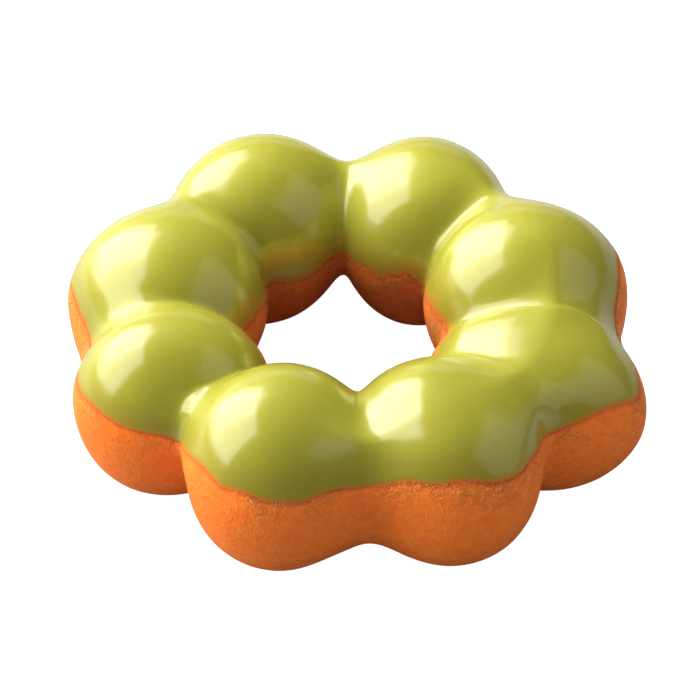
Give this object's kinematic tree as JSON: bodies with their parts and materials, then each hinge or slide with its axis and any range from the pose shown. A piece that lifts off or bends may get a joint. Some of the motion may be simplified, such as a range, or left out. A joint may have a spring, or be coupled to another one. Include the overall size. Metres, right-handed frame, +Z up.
{
  "type": "ring doughnut",
  "caption": "Ring doughnut of joined round dough balls, fried golden, with smooth green tea icing over its upper half.",
  "frame": {"origin": "on the surface that the doughnut lies on, under the middle of its bounding box", "axes": "+Z up through the hole, icing up; -Y towards the picture's viewer, +X to the viewer's right"},
  "size_m": [0.0898, 0.0854, 0.0328],
  "materials": {
    "dough": "fried dough skin, golden brown, matte to satin",
    "icing": "smooth glossy green tea icing"
  },
  "bodies": {
    "root": {"dough": "dough", "icing": "icing"}
  },
  "joints": []
}
